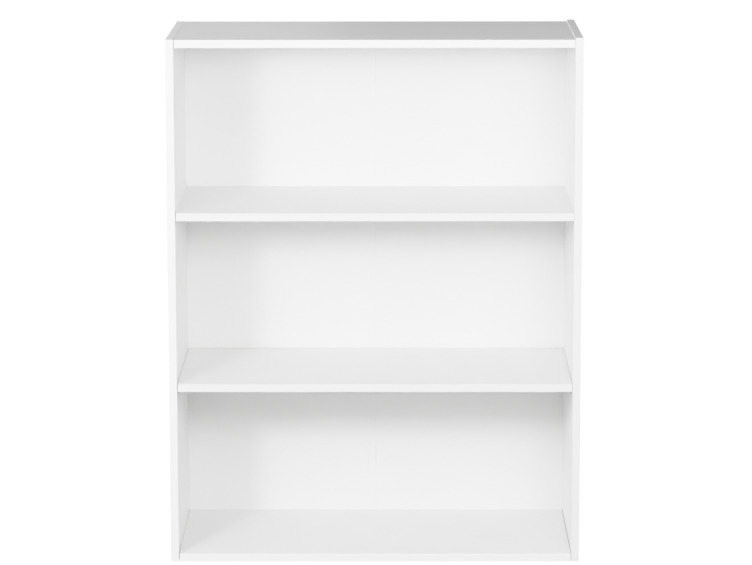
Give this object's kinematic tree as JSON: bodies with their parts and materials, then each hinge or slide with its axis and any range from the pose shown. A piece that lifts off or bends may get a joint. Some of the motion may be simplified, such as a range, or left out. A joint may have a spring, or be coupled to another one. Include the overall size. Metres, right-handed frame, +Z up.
{
  "type": "open bookcase",
  "caption": "Low open bookcase in white board: two sides, a top, a fixed and a loose shelf, a floor-level bottom and a folding hardboard back.",
  "frame": {"origin": "on the floor under the middle of the overall box", "axes": "+Z up, -Y towards the open front, +X to the right of someone facing the front"},
  "size_m": [0.628, 0.29, 0.8103],
  "materials": {
    "melamine_board": "satin",
    "edge_band": "satin",
    "hardboard": "matte",
    "fold_tape": "matte",
    "bright_steel": "satin",
    "zinc_fitting": "satin",
    "nickel_pin": "satin",
    "beech": "matte",
    "glide_plastic": "satin"
  },
  "bodies": {
    "carcass": {"left_side_panel": "melamine_board", "right_side_panel": "melamine_board", "top_board": "melamine_board", "upper_shelf": "melamine_board", "bottom_board": "melamine_board", "left_side_front_band": "edge_band", "right_side_front_band": "edge_band", "left_side_top_band": "edge_band", "right_side_top_band": "edge_band", "top_board_band": "edge_band", "upper_shelf_band": "edge_band", "bottom_board_band": "edge_band", "back_panel_left": "hardboard", "back_panel_right": "hardboard", "back_fold_tape": "fold_tape", "back_panel_nails": "bright_steel", "cam_locks": "zinc_fitting", "cam_bolts": "zinc_fitting", "wood_dowels": "beech", "shelf_pins": "nickel_pin", "wall_brackets": "zinc_fitting", "wall_bracket_screws": "bright_steel", "floor_glides": "glide_plastic", "glide_nails": "bright_steel"},
    "loose_shelf": {"lower_shelf": "melamine_board", "lower_shelf_band": "edge_band"}
  },
  "joints": [
    {"name": "lower_shelf_slide", "type": "slide", "parent": "carcass", "child": "loose_shelf", "axis": [0, -1, 0], "range_m": [0, 0.286]}
  ]
}
